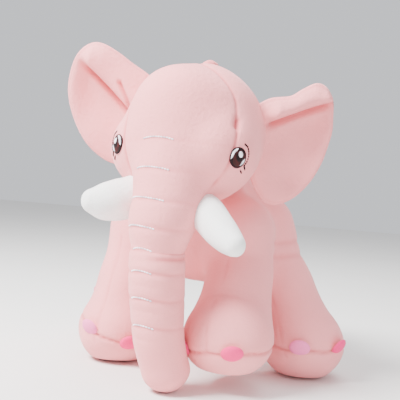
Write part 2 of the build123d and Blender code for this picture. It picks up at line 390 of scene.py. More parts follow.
# ---- finishes
class Finish:
    """A node material under construction."""

    def __init__(self, name):
        self.material = bpy.data.materials.new(name)
        self.material.use_nodes = True
        self.nodes = self.material.node_tree.nodes
        self.links = self.material.node_tree.links
        self.shader = self.nodes["Principled BSDF"]
        self.place = self.add("ShaderNodeTexCoord").outputs["Object"]

    def add(self, kind, **values):
        node = self.nodes.new(kind)
        for name, value in values.items():
            setattr(node, name, value)
        return node

    def noise(self, scale, detail=3, roughness=0.55):
        node = self.add("ShaderNodeTexNoise")
        node.inputs["Scale"].default_value = scale
        node.inputs["Detail"].default_value = detail
        node.inputs["Roughness"].default_value = roughness
        self.links.new(self.place, node.inputs["Vector"])
        return node.outputs["Fac"]

    def spread(self, value, low, high):
        node = self.add("ShaderNodeMapRange")
        node.inputs["To Min"].default_value = low
        node.inputs["To Max"].default_value = high
        self.links.new(value, node.inputs["Value"])
        return node.outputs["Result"]

    def maths(self, operation, one, two):
        node = self.add("ShaderNodeMath", operation=operation)
        for socket, value in zip(node.inputs, (one, two)):
            if isinstance(value, (int, float)):
                socket.default_value = value
            else:
                self.links.new(value, socket)
        return node.outputs["Value"]

    def mix(self, factor, one, two):
        node = self.add("ShaderNodeMix", data_type="RGBA")
        self.links.new(factor, node.inputs["Factor"])
        for socket, colour in ((node.inputs[6], one), (node.inputs[7], two)):
            if isinstance(colour, bpy.types.NodeSocket):
                self.links.new(colour, socket)
            else:
                socket.default_value = (*colour, 1)
        return node.outputs[2]

    def bump(self, height, strength, distance):
        node = self.add("ShaderNodeBump")
        node.inputs["Strength"].default_value = strength
        node.inputs["Distance"].default_value = distance
        self.links.new(height, node.inputs["Height"])
        if self.shader.inputs["Normal"].links:
            self.links.new(self.shader.inputs["Normal"].links[0].from_socket, node.inputs["Normal"])
        self.links.new(node.outputs["Normal"], self.shader.inputs["Normal"])

    def set(self, **values):
        for name, value in values.items():
            self.shader.inputs[name.replace("_", " ")].default_value = value

    def feed(self, socket, value):
        self.links.new(value, self.shader.inputs[socket])


def shade_of(colour, factor):
    return tuple(min(1.0, channel * factor) for channel in colour)


def plush_finish(name, colour, crease_shade_colour, tint=(1.0, 0.78, 0.78)):
    """Short velvet pile: patches where the nap lies over, fine tufts, and painted shade in the creases."""
    finish = Finish(name)
    patches = finish.noise(34, 2)
    nap = finish.mix(finish.spread(patches, 0.15, 0.85), shade_of(colour, 0.93), shade_of(colour, 1.05))
    tufts = finish.noise(1500, 2, 0.7)
    flecked = finish.mix(finish.spread(tufts, -0.1, 0.55), nap, shade_of(colour, 0.86))
    # Painted shade: the crease attribute mixes the colour towards the crease shade colour in seams and
    # folds.
    crease = finish.add("ShaderNodeAttribute", attribute_name="crease")
    base = finish.mix(crease.outputs["Fac"], flecked, crease_shade_colour)
    finish.feed("Base Color", base)
    finish.bump(tufts, 0.55, look().pile_length)
    finish.bump(finish.noise(260, 3, 0.6), 0.5, 2 * look().pile_length)
    finish.feed("Roughness", finish.spread(patches, 0.78, 0.92))
    finish.set(Sheen_Weight=0.35, Sheen_Roughness=0.35, Specular_IOR_Level=0.15)
    finish.shader.inputs["Sheen Tint"].default_value = (*tint, 1)
    return finish.material


def felt_finish(name, colour):
    """Pressed felt: matted fibres with a little sheen."""
    finish = Finish(name)
    fibres = finish.noise(900, 5, 0.75)
    patches = finish.noise(120, 2)
    base = finish.mix(finish.spread(fibres, -0.1, 0.8), shade_of(colour, 1.12), shade_of(colour, 0.78))
    finish.feed("Base Color", finish.mix(finish.spread(patches, 0, 0.4), base, shade_of(colour, 1.2)))
    finish.bump(fibres, 0.6, 0.0004)
    finish.feed("Roughness", finish.spread(fibres, 0.7, 0.9))
    finish.set(Sheen_Weight=0.1, Sheen_Roughness=0.5, Specular_IOR_Level=0.15)
    return finish.material


def thread_finish(name, colour, spacing=0.00055, lustre=0.5):
    """Satin stitches: fine parallel threads side by side."""
    finish = Finish(name)
    wave = finish.add("ShaderNodeTexWave", wave_type="BANDS", bands_direction="DIAGONAL")
    wave.inputs["Scale"].default_value = 1 / (spacing * 20)
    wave.inputs["Distortion"].default_value = 0.6
    wave.inputs["Detail"].default_value = 1
    finish.links.new(finish.place, wave.inputs["Vector"])
    threads = wave.outputs["Fac"]
    finish.feed("Base Color", finish.mix(threads, shade_of(colour, 0.7), shade_of(colour, 1.15)))
    finish.bump(threads, 0.5, 0.0003)
    finish.feed("Roughness", finish.spread(threads, 0.5 - 0.2 * lustre, 0.6))
    finish.set(Specular_IOR_Level=0.15)
    return finish.material


FINISHES = {}


def finish_of(kind):
    """Each finish is made once, when a piece first needs it."""
    if kind not in FINISHES:
        sizes = look()
        makers = {
            "pink_plush": lambda: plush_finish("pink_plush", sizes.plush_colour, sizes.crease_shade_colour),
            "sole_plush": lambda: plush_finish(
                "sole_plush", shade_of(sizes.plush_colour, 1.04), sizes.crease_shade_colour),
            # The tusks' crease colour is painted shade: a darker copy of the white for their seams.
            "white_plush": lambda: plush_finish(
                "white_plush", sizes.tusk_colour, shade_of(sizes.tusk_colour, 0.8), (1, 1, 1)),
            "nail_felt": lambda: felt_finish("nail_felt", sizes.nail_colour),
            "highlit_nail_felt": lambda: felt_finish("highlit_nail_felt", sizes.highlit_nail_colour),
            "dark_thread": lambda: thread_finish("dark_thread", sizes.eye_colour),
            "brown_thread": lambda: thread_finish("brown_thread", (0.040, 0.008, 0.008)),
            "white_thread": lambda: thread_finish("white_thread", sizes.thread_colour, 0.0008, 0.8),
            "floor": floor_finish,
        }
        FINISHES[kind] = makers[kind]()
    return FINISHES[kind]


def floor_finish():
    finish = Finish("floor")
    finish.feed("Base Color", finish.mix(finish.noise(6, 3), (0.80, 0.78, 0.76), (0.84, 0.83, 0.81)))
    finish.set(Roughness=0.85, Specular_IOR_Level=0.2)
    return finish.material


def dress(piece, kind):
    piece.data.materials.clear()
    piece.data.materials.append(finish_of(kind))


# ---- the head's surface
def head_shape():
    """Head, brow and the upper trunk down to the crease ring."""
    x, y, z = HEAD_MIDDLE
    skull = oval((x, y + 2, z - 4), (HEAD_RADIUS - 4, HEAD_RADIUS - 3, HEAD_RADIUS - 3))
    cheeks = [oval((x + side * 26, y - 20, z - 20), (42, 42, 40)) for side in (-1, 1)]
    forehead = oval((x - 3, y - 28, z + 4), (44, 40, 48), (14, 0, 0))
    mid = 0.5 * (x + CREASE[0])
    trunk = limb(
        ((x - 1, y - 33, z - 10), (mid, y - 40, z - 38), (CREASE[0], CREASE[1] + 12, z - 64),
         (CREASE[0] - 1, CREASE[1] + 3, z - 85), (CREASE[0] - 1, CREASE[1], CREASE[2] + 1)),
        (36, 36, 31.5, 27.5, 22.5))
    return joined([skull, *cheeks, forehead, trunk], 9)


def head_way(turn, rise):
    """Direction from the head's middle: turn from the front to its left, rise above level."""
    turn, rise = radians(turn), radians(rise)
    return np.array([sin(turn) * cos(rise), -cos(turn) * cos(rise), sin(rise)])


def on_shape(shape, start, ways, nearest=20.0, farthest=160.0, rounds=40):
    """Where straight ways from a start leave a shape."""
    ways = np.atleast_2d(ways)
    near, far = np.full(len(ways), nearest), np.full(len(ways), farthest)
    for _ in range(rounds):
        middle = (near + far) / 2
        inside = shape(start + ways * middle[:, None]) < 0
        near, far = np.where(inside, middle, near), np.where(inside, far, middle)
    return start + ways * near[:, None]


def surface_from(shape, start, way):
    """Where one straight way from inside a limb leaves its shape."""
    return on_shape(shape, start, way, 0.0, 70.0, 30)[0]


def on_head(shape, angles):
    return on_shape(shape, HEAD_MIDDLE, [head_way(turn, rise) for turn, rise in angles])


def groove(points, line, width, depth):
    """The pull of one seam: its push along the surface, and the painted shade at its bottom."""
    gap = near_line(points, line) / width
    return -depth * np.exp(-gap**2), np.exp(-(gap * 1.1)**2)


def press(so_far, groove_made, strength):
    """Adds one groove to the push and the shade that are there already."""
    (push, dark), (pull, shade) = so_far, groove_made
    return push + pull, np.maximum(dark, strength * shade)


# Places along the two seams beside the forehead, as degrees (turned from the front, raised).
GUSSET_SEAMS = (
    ((4, 84), (38, 66), (55, 44), (61, 22), (57, 4), (53, -10), (50, -23), (44, -38), (37, -50)),
    ((-4, 84), (-34, 66), (-42, 44), (-42, 22), (-38, 4), (-34, -10), (-31, -23), (-30, -38), (-28, -50)),
)
# The thread rows: height, half width, and how far each is turned from the front, in degrees.
TRUNK_ROWS = (213, 188, 163, 140, 122, 104, 82, 59)
ROW_HALF_WIDTHS = (21, 20, 19, 13.5, 12.5, 13, 14, 15)
ROW_TURNS = (-12, -17, -21, -19, -15, -12, -11, -11)


def ring_pull(points, height, middle, depth, width, front_only=0.35):
    """A level fold that is deepest in front and fades towards the back of the trunk, with painted shade in
    it.
    """
    side = points[:, :2] - middle
    facing = 0.5 - 0.5 * side[:, 1] / (np.linalg.norm(side, axis=1) + 1e-6)
    strength = front_only + (1 - front_only) * facing**2
    arch = height - 1.5 * np.abs(side[:, 0]) / 20
    gap = (points[:, 2] - arch) / width
    return -depth * strength * np.exp(-gap**2), 0.5 * strength * np.exp(-(1.6 * gap)**2)


def seam_size():
    """Width and depth of a seam's groove."""
    return look().seam_width / MM, look().seam_depth / MM


def head_relief(shape):
    width, depth = seam_size()
    seams = [smooth_path(on_head(shape, seam), 6) for seam in GUSSET_SEAMS]
    dimple = on_head(shape, [(58, 6), (55, 0)])

    def relief(points):
        # Painted shade goes into the gusset seams, the dimple and the trunk rows.
        made = 0.35 * ripple(points, 55, 2), np.zeros(len(points))
        for seam in seams:
            made = press(made, groove(points, seam, width, depth), 0.55)
            made = press(made, groove(points, seam, 5 * width, 0.7), 0)
        push, dark = press(made, groove(points, dimple, 3.2, 2.2), 0.8)
        front = points[:, 1] < HEAD_MIDDLE[1] - 30
        for height, fold in zip(TRUNK_ROWS[:4], (0.5, 0.8, 1.0, 1.2)):
            pull, shade = ring_pull(points, height, CREASE[:2], fold, 2.6, 0.1)
            push, dark = push + pull * front, np.maximum(dark, 0.5 * shade * front)
        return push, dark

    return relief


# ---- torso and legs
def leg_places(name):
    """Hip, foot middle and table clearance of a leg."""
    low, high = node_box(name + "_sole")
    return joint_place(name + "_leg_swing"), (low + high) / 2, low[2]


# Each foot: its sole seam's height over the foot's lowest point, the seam's slope towards +X,
# its two toenails' directions from the front, and a broader or slimmer leg.
FEET = {
    "front_left": (22, 0.05, (-46, 28), 1.07),
    "front_right": (31, -0.36, (-12, 47), 1.0),
    "hind_left": (31, 0.02, (13, 73), 1.0),
    "hind_right": (32, -0.30, (-88, -24), 1.0),
}


def sole_seam(name, points):
    """Height of a sole's seam at each point."""
    _, foot, lift = leg_places(name)
    height, slope, _, _ = FEET[name]
    side = points[:, 0] - foot[0]
    return lift + height + slope * side + 0.8 * np.sin(0.16 * side + 0.11 * points[:, 1])


def leg_shape(name):
    hip, foot, lift = leg_places(name)
    x, y = foot[:2]
    spots, sizes = [], []
    drop = hip[2] - lift
    broad = FEET[name][3]
    for height, size in ((1.08, 27), (0.82, 27 * broad), (0.60, 29.5 * broad), (0.36, 32 * broad)):
        along = min(1, max(0, 1 - (height * drop + lift - 33) / (drop - 33)))
        spots.append((*(hip[:2] + (foot[:2] - hip[:2]) * along), lift + height * drop))
        sizes.append(size)
    upper = limb(spots + [(x, y, lift + 36)], sizes + [33.5])
    foot_pad = oval((x, y, lift + 26), (35, 35, 26))

    def distance(points):
        body = joined([upper, foot_pad], 24)(points)
        low = points[:, 2] - lift
        rim = np.clip(1 - low / 14, 0, 1)
        ground = 1.0 + 6.5 * rim * (np.linalg.norm(points[:, :2] - foot[:2], axis=1) / 30) ** 4 - low
        return np.maximum(body, ground)

    return distance


def body_shape():
    x, y = (TORSO_LOW[:2] + TORSO_HIGH[:2]) / 2
    z = TORSO_LOW[2] + 60
    barrel = oval((x, y + 2, z), (60, 84, 61))
    rump = oval((x, y + 28, z + 2), (56, 54, 58))
    chest = oval((x + 1, y - 40, z - 2), (52, 40, 50))
    neck = oval(NECK + np.array([0, 0, -2]), (38, 31, 31))
    parts = [barrel, rump, chest, neck]
    for name in LEGS:
        hip = leg_places(name)[0]
        inward = 0.22 if name.startswith("front") else 0.3
        hip_pad = hip + inward * (np.array([x, y, z]) - hip)
        parts.append(oval(hip_pad, (32, 36, 38)))
    return joined([joined(parts, 12), *(leg_shape(name) for name in LEGS)], 14)


def leg_cut(name):
    """Where a leg's skin leaves the torso: a place in the armpit and the way down the leg."""
    hip, foot, lift = leg_places(name)
    middle = (TORSO_LOW + TORSO_HIGH) / 2
    side = 1 if hip[0] > middle[0] else -1
    down = unit(np.array([foot[0], foot[1], lift + 30]) - hip)
    down = unit(down + np.array([0.28 * side, 0, 0]))
    armpit = np.array([hip[0] - 24 * side, hip[1], TORSO_LOW[2] + 11])
    return armpit, down


def body_relief():
    width, depth = seam_size()

    def relief(points):
        # Painted shade goes into the sole seams, the leg seams, the hip folds and the spine seam.
        push, dark = 0.5 * ripple(points, 60, 5), np.zeros(len(points))
        for name in LEGS:
            hip, foot, lift = leg_places(name)
            near = np.linalg.norm(points[:, :2] - foot[:2], axis=1) < 44
            near &= points[:, 2] < lift + 60
            side = points[:, :2] - foot[:2]
            way = np.arctan2(side[:, 0], -side[:, 1])
            gap = np.abs(points[:, 2] - sole_seam(name, points)) / (0.9 * width)
            pucker = 1 + 0.25 * np.sin(38 * way)
            push = push - near * (1.5 * depth * pucker * np.exp(-gap**2))
            dark = np.maximum(dark, near * 0.6 * np.exp(-gap**2))
            seam = groove(points, leg_seam(name), 0.8 * width, 0.45 * depth)
            push, dark = press((push, dark), seam, 0.28)
            if name.startswith("hind"):
                for height in (0.93, 0.83):
                    at = hip[2] * height
                    out = np.sign(hip[0]) * (points[:, 0] - hip[0])
                    fold = np.exp(-((points[:, 2] - at - 0.15 * out) / 2.6) ** 2)
                    fold *= np.clip(out / 22, 0, 1) * (np.abs(points[:, 1] - hip[1]) < 40)
                    push, dark = push - 1.0 * fold, np.maximum(dark, 0.25 * fold)
        middle = (TORSO_LOW[0] + TORSO_HIGH[0]) / 2
        back = np.abs(points[:, 0] - middle) + 60 * (points[:, 2] < TORSO_LOW[2] + 40)
        spine = np.exp(-(back / width) ** 2)
        return push - 0.6 * depth * spine, np.maximum(dark, 0.3 * spine)

    return relief


def leg_seam(name):
    """The seam that runs down the front of a leg."""
    hip, foot, lift = leg_places(name)
    shape = leg_shape(name)
    line = []
    for along in (0.05, 0.3, 0.55, 0.8, 0.98):
        middle = hip + (np.array([foot[0], foot[1], lift + 22]) - hip) * along
        line.append(surface_from(shape, middle, unit((-0.05, -1, 0))))
    return smooth_path(np.array(line), 5)


# ---- one operator for each piece
class Step(bpy.types.Operator):
    bl_options = {"REGISTER", "UNDO"}

    def execute(self, context):
        self.make()
        return {"FINISHED"}


class ELEPHANT_OT_head(Step):
    """Sew the head's cover, with the upper trunk, cheeks and gusset seams"""
    bl_idname = "elephant.head"
    bl_label = "Head"

    def make(self):
        shape = head_shape()
        low = HEAD_LOW - ROOM["head"]
        low[2] = CREASE[2] - 26
        piece = sculpt("head_skin", shape, low, HEAD_HIGH + ROOM["head"], CELLS["head"], head_relief(shape))
        dress(piece, "pink_plush")
        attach(piece, "head")
        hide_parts("head_cover", "head_filling")


def trunk_shape():
    x, y, z = CREASE
    across, deep, high = BEND
    tube = limb(
        ((x - 1, y, z + 1), (x - 0.5, y - 1, z - 14), (x, y - 1, z - 30), (across, deep - 2, high + 12),
         (across + 1, deep + 1, high - 12), (across + 3, deep + 6, 32), (across + 5, deep + 9, 22)),
        (22.6, 23.6, 23.4, 22.8, 21.8, 21, 20.3))
    end = oval((across + 6, deep + 10, 18), (20, 19.5, 17))
    return joined([tube, end], 4)


def trunk_middle(height):
    """The trunk leans, so its middle differs above and below its bend."""
    return CREASE[:2] if height > BEND[2] else BEND[:2]


def trunk_relief(points):
    # Painted shade goes into the thread rows, the notches and the crease ring.
    made = 0.3 * ripple(points, 40, 7), np.zeros(len(points))
    for height, fold in zip(TRUNK_ROWS[4:], (1.1, 1.3, 1.2, 1.0)):
        made = press(made, ring_pull(points, height, trunk_middle(height), fold, 2.3, 0.3), 0.8)
    for height in (113, 93, 72, 48):
        made = press(made, ring_pull(points, height, CREASE[:2], 0.35, 2.2, 0.3), 0)
    push, dark = made
    side = points[:, 0] - CREASE[0]
    ring = (points[:, 2] - CREASE[2] - 4 + 0.12 * side) / 2.6
    for height, fold in ((CREASE[2] - 3, 1.3), (CREASE[2] - 9, 1.0)):
        notch = np.clip(side / 16, 0, 1) * np.exp(-((points[:, 2] - height) / 1.8) ** 2)
        push, dark = push - fold * notch, np.maximum(dark, 0.6 * notch)
    return push - 3.2 * np.exp(-ring**2), np.maximum(dark, 0.85 * np.exp(-ring**2))


class ELEPHANT_OT_trunk(Step):
    """Sew the trunk below its crease ring, in two skins, one above the other"""
    bl_idname = "elephant.trunk"
    bl_label = "Trunk"

    def make(self):
        low = np.array([TIP_LOW[0] - 12, CREASE[1] - 34, UNDER_TABLE])
        high = np.array([TIP_HIGH[0] + 12, TIP_HIGH[1] + 16, CREASE[2] + 30])
        whole = sculpt("trunk_whole", trunk_shape(), low, high, CELLS["trunk"], trunk_relief)
        points, faces = mesh_arrays(whole)
        height = np.array([points[list(face), 2].mean() for face in faces])
        split = (CREASE[2] + BEND[2]) / 2
        upper = part_of("trunk_middle_skin", whole, height >= split)
        lower = part_of("trunk_tip_skin", whole, height < split)
        for piece, node in ((upper, "trunk_middle"), (lower, "trunk_tip")):
            dress(piece, "pink_plush")
            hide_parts(node + "_cover", node + "_filling")
        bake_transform(upper)
        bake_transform(lower)
        bpy.data.objects.remove(whole)


class ELEPHANT_OT_body(Step):
    """Sew the torso and the four legs, with their soles"""
    bl_idname = "elephant.body"
    bl_label = "Torso and legs"

    def make(self):
        boxes = [node_box(name + "_leg_cover") for name in LEGS] + [(TORSO_LOW, TORSO_HIGH)]
        low = np.min([box[0] for box in boxes], 0) - ROOM["body"]
        high = np.max([box[1] for box in boxes], 0) + ROOM["body"]
        low[2] = UNDER_TABLE
        whole = sculpt("body_whole", body_shape(), low, high, CELLS["body"], body_relief())
        points, faces = mesh_arrays(whole)
        middle = np.array([points[list(face)].mean(0) for face in faces])
        owner = np.full(len(faces), "torso", dtype=object)
        gaps = {}
        for name in LEGS:
            hip, foot, lift = leg_places(name)
            gaps[name] = near_line(middle, np.array([hip, [*foot[:2], lift]]))
        for name in LEGS:
            armpit, down = leg_cut(name)
            side = np.sign(leg_places(name)[0][0])
            mine = ((middle - armpit) @ down > 0) & (side * middle[:, 0] > 2)
            for other in LEGS:
                if other != name:
                    mine &= gaps[name] < gaps[other]
            owner[mine] = name
        torso = part_of("torso_skin", whole, owner == "torso")
        dress(torso, "pink_plush")
        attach(torso, "torso")
        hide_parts("torso_cover", "torso_filling")
        for name in LEGS:
            armpit, down = leg_cut(name)
            below = middle[:, 2] < sole_seam(name, middle)
            leg = part_of(name + "_leg_skin", whole, (owner == name) & ~below)
            sole = part_of(name + "_sole_skin", whole, (owner == name) & below)
            dress(leg, "pink_plush")
            dress(sole, "sole_plush")
            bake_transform(leg)
            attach(sole, name + "_leg")
            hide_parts(name + "_leg_cover", name + "_leg_filling")
            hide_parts(name + "_sole")
        bpy.data.objects.remove(whole)


# A toenail's half width, half height and thickness, and how it curls across and droops along.
NAIL_SIZE = (9.6, 8.2, 2.6)
NAIL_CURL, NAIL_DROOP = 0.022, 0.03


def petal(name, centre, turn, lean):
    """A felt toenail: a thin oval that stands out of the sole seam."""
    rings, spokes = 7, 28
    points = []
    for face in (1, -1):
        for ring in range(rings + 1):
            share = ring / rings
            for spoke in range(spokes):
                angle = 2 * pi * spoke / spokes
                a, b = NAIL_SIZE[0] * share * cos(angle), NAIL_SIZE[1] * share * sin(angle)
                edge = sqrt(max(0, 1 - share**4))
                curl = NAIL_CURL * a * a + NAIL_DROOP * b * b
                points.append((a, -face * NAIL_SIZE[2] / 2 * (edge + 0.12) + curl, b))
    count = (rings + 1) * spokes
    faces = band_faces(rings, spokes)
    faces += [face[::-1] for face in band_faces(rings, spokes, count)]
    faces += band_faces(1, spokes, rings * spokes, count)
    place = np.array(Euler((radians(lean), 0, radians(turn)), "XYZ").to_matrix())
    return new_object(name, np.array(points) @ place.T + centre, faces)


class ELEPHANT_OT_toenails(Step):
    """Sew two felt toenails into each sole seam"""
    bl_idname = "elephant.toenails"
    bl_label = "Toenails"

    def make(self):
        shape = body_shape()
        for name in LEGS:
            foot = leg_places(name)[1]
            for number, turn in enumerate(FEET[name][2]):
                way = np.array([sin(radians(turn)), -cos(radians(turn)), 0])
                start = np.array([foot[0], foot[1], 0])
                start[2] = sole_seam(name, (start + 34 * way)[None])[0] + 1.5
                spot = surface_from(shape, start, way) + way * 2.6
                lean = 22 + 6 * number
                nail = petal(f"{name}_toenail_{number + 1}", spot + np.array([0, 0, 0.5]), turn, lean)
                # Painted highlight: these two toenails get the paler felt colour.
                highlit = (name, number) in (("front_right", 0), ("hind_left", 0))
                dress(nail, "highlit_nail_felt" if highlit else "nail_felt")
                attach(nail, name + "_leg")
                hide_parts(name + "_toenails")


# ---- ears
def ear_frame(name):
    """Base place and the three ways of an ear: out, up and towards its front."""
    side = SIDES[name]
    base = joint_place(name + "_ear_flap")
    up = joint_axis(name + "_ear_flap") * -side
    sweep = radians(EAR_SWEEPS[name])
    level = np.array([side * cos(sweep), sin(sweep), 0])
    out = unit(level - (level @ up) * up)
    front = unit(np.cross(out, up)) * side
    return base, out, up, front


# Each outline starts at the top of the sewn edge and runs over the tip to the bottom, as (out, up).
EAR_OUTLINES = {
    "left": ((-13, 28), (1, 36), (18, 40), (28, 47), (40, 54), (50, 52), (58, 42), (61, 27), (62, 10),
             (59, -8), (52, -28), (41, -45), (29, -55), (17, -60), (6, -57), (-3, -47), (-10, -32),
             (-15, 0)),
    "right": ((-4, 20), (8, 27), (25, 33), (40, 39), (55, 43), (67, 42), (77, 34), (83, 20), (84, 3),
              (80, -15), (70, -34), (55, -51), (40, -61), (24, -66), (11, -64), (3, -54), (-2, -40),
              (-6, -8)),
}
# How far each ear is swept back from straight out, in degrees.
EAR_SWEEPS = {"left": 42, "right": -12}
# Where the top folds forwards: height at the sewn edge, slope, then the fold's inner and outer ends.
EAR_FOLDS = {"left": (13, 0.46, 2, 60), "right": (-23, 0.60, 4, 74)}


def ear_relief(name, u, v):
    """How far the front panel stands forward, and the painted shade in its folds."""
    start, slope, inner, outer = EAR_FOLDS[name]
    top = np.array(EAR_OUTLINES[name][:8], float)
    fold = start + slope * u
    above = v - fold
    room = np.maximum(np.interp(u, top[:, 0], top[:, 1]) - fold, 8)
    band = np.clip((u - inner + 8) / 12, 0, 1) * np.clip((outer + 4 - u) / 12, 0, 1)
    share = np.clip(above / room, 0, 1)
    roll = 9.5 * np.sin(pi * share**0.62) ** 0.8 * (above > 0)
    valley = 6.5 * np.exp(-((above + 2.2) / 3.6) ** 2)
    hollow = 3.0 * np.exp(-((above + 16) / 15) ** 2)
    push = band * (roll - valley) - hollow * band
    dark = band * np.exp(-((above + 1.6) / 2.2) ** 2)
    if name == "right":
        line = np.array([[14, -12, 0], [20, -1, 0], [31, 12, 0]], float)
        gap = near_line(np.stack([u, v, 0 * u], 1), line)
        push = push - 3.5 * np.exp(-(gap / 2.2) ** 2)
        dark = np.maximum(dark, 0.8 * np.exp(-(gap / 1.6) ** 2))
    return push, dark


def ear_piece(name):
    side = SIDES[name]
    base, out, up, front = ear_frame(name)
    thickness = look().ear_thickness / MM
    outline = np.array(EAR_OUTLINES[name] + EAR_OUTLINES[name][:1], float)
    outline = smooth_path(np.hstack([outline, np.zeros((len(outline), 1))]), 6)[:-1, :2]
    middle = np.array([0.5 * outline[:, 0].max(), -3.0])
    rings, spokes = 40, len(outline)
    shares = np.linspace(0, 1, rings + 1)
    flat = middle + shares[:, None, None] * (outline - middle)[None]
    u, v = flat[..., 0].ravel(), flat[..., 1].ravel()
    share = np.repeat(shares, spokes)
    cup = 12 * share**2.2 * (0.5 + 0.5 * np.clip(u / 50, 0, 1)) - 3
    push, dark = ear_relief(name, u, v)
    rim = np.sqrt(np.clip(1 - share**8, 0, 1))
    half = thickness / 2 * (0.35 + 0.65 * rim) * rim
    wave = 0.6 * ripple(np.stack([u, v, 0 * u], 1), 42, 3 + side)
    seam = np.exp(-((share - 0.96) / 0.012) ** 2)
    points = []
    for depth in (cup + half + push * rim + wave - 0.9 * seam,
                  cup - half + wave + 0.5 * push * rim + 0.9 * seam):
        points.append(base + u[:, None] * out + v[:, None] * up + depth[:, None] * front)
    count = len(u)
    faces = band_faces(rings, spokes) + band_faces(rings, spokes, count)
    faces += band_faces(1, spokes, rings * spokes, count)
    piece = new_object(name + "_ear_skin", np.vstack(points), faces)
    # Painted shade in the folds on the front and along the edge seam on both faces.
    darks = np.maximum(np.concatenate([dark, 0 * dark]), 0.35 * np.tile(seam, 2))
    mark(piece, "crease", 0.8 * darks)
    return closed(piece)


def closed(piece):
    """Welds points that coincide and turns every face outwards."""
    weld = bmesh.new()
    weld.from_mesh(piece.data)
    bmesh.ops.remove_doubles(weld, verts=weld.verts, dist=0.00001)
    bmesh.ops.recalc_face_normals(weld, faces=weld.faces)
    weld.to_mesh(piece.data)
    weld.free()
    piece.data.shade_smooth()
    return piece


class ELEPHANT_OT_ears(Step):
    """Sew the two cupped ears, each with its top folded forwards"""
    bl_idname = "elephant.ears"
    bl_label = "Ears"

    def make(self):
        for name in SIDES:
            piece = ear_piece(name)
            dress(piece, "pink_plush")
            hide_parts(*(f"{name}_ear_{layer}" for layer in ("front", "padding", "back")))
            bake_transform(piece)


# ---- tusks
# Each tusk: how far its sewn root lies inside the head, how its tip leans, and its thickness along it.
TUSKS = {
    "left": ((-12, 8, 1), (8, 4, 1), (12, 15, 14.5, 12.3, 9.6)),
    "right": ((6, 8, 0), (7, 3, 6), (17, 18.5, 18, 15.5, 11.5)),
}


class ELEPHANT_OT_tusks(Step):
    """Sew the two stuffed white tusks"""
    bl_idname = "elephant.tusks"
    bl_label = "Tusks"

    def make(self):
        for name in SIDES:
            inward, outward, radii = TUSKS[name]
            pivot = joint_place(name + "_tusk_flex")
            low, high = node_box(name + "_tusk_cover")
            far = np.where(high - pivot > pivot - low, high - 11.5, low + 11.5) + outward
            root = pivot + inward
            way = unit(far - root)
            length = np.linalg.norm(far - root)
            sag = np.array([0, 0, -1.5])
            shape = limb(
                (root, root + 0.25 * length * way, root + 0.55 * length * way + sag,
                 root + 0.8 * length * way + sag, far - 1 * way), radii)
            seam = np.array([root + 14 * way + [0, 0, -radii[1]], far - 12 * way + [0, 0, -radii[3]],
                             far + [0, 0, -radii[4] + 1]])

            def relief(points):
                # Painted shade along the seam.
                pull, shade = groove(points, seam, 1.4, 0.7)
                return pull + 0.35 * ripple(points, 26, 4), 0.5 * shade

            low, high = np.minimum(root, far) - ROOM["tusk"], np.maximum(root, far) + ROOM["tusk"]
            piece = sculpt(name + "_tusk_skin", shape, low, high, CELLS["tusk"], relief)
            dress(piece, "white_plush")
            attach(piece, name + "_tusk")
            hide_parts(name + "_tusk_cover", name + "_tusk_filling")


# ---- embroidery
# Each eye's place, as degrees (turned from the front, raised), and the size of both against their drawing.
EYES = {"left": (55.5, -19.5), "right": (-40.5, -15)}
EYE_SCALE = 0.78


def patch(name, shape, eye, outline, height, rings=6):
    """Satin stitches that fill an outline on the face; places are mm across and up from the eye."""
    turn, rise = EYES[eye]
    outline = EYE_SCALE * np.array(outline, float)
    middle = outline.mean(0)
    count = len(outline)
    spots, lift = [], []
    for ring in range(rings + 1):
        share = ring / rings
        for spot in middle + share * (outline - middle):
            spots.append(spot)
            lift.append(height * (0.35 + 0.65 * sqrt(max(0, 1 - share**4))))
    angles = [(turn + degrees(a / HEAD_RADIUS) / cos(radians(rise)), rise + degrees(b / HEAD_RADIUS))
              for a, b in spots]
    ways = np.array([head_way(*angle) for angle in angles])
    surface = on_shape(shape, HEAD_MIDDLE, ways)
    top = surface + ways * np.array(lift)[:, None]
    points = np.vstack([top, surface[-count:] - ways[-count:] * 1.2])
    return closed(new_object(name, points, band_faces(rings + 1, count)))


def oval_outline(centre, radii, tilt=0.0, count=40, start=0, end=360):
    angles = np.radians(np.linspace(start, end, count, endpoint=(end - start) < 360))
    spin = np.array([[cos(radians(tilt)), -sin(radians(tilt))], [sin(radians(tilt)), cos(radians(tilt))]])
    return (np.stack([radii[0] * np.cos(angles), radii[1] * np.sin(angles)], 1) @ spin.T) + centre


def crescent(centre, radii, start, end, thickness):
    """A stroke along part of an oval, pointed at both ends."""
    outer = oval_outline(centre, radii, count=18, start=start, end=end)
    sweep = np.sin(np.linspace(0.05, pi - 0.05, 18))[:, None] * thickness
    inner = centre + (outer - centre) * (1 - sweep / np.linalg.norm(outer - centre, axis=1)[:, None])
    return np.vstack([outer, inner[::-1]])


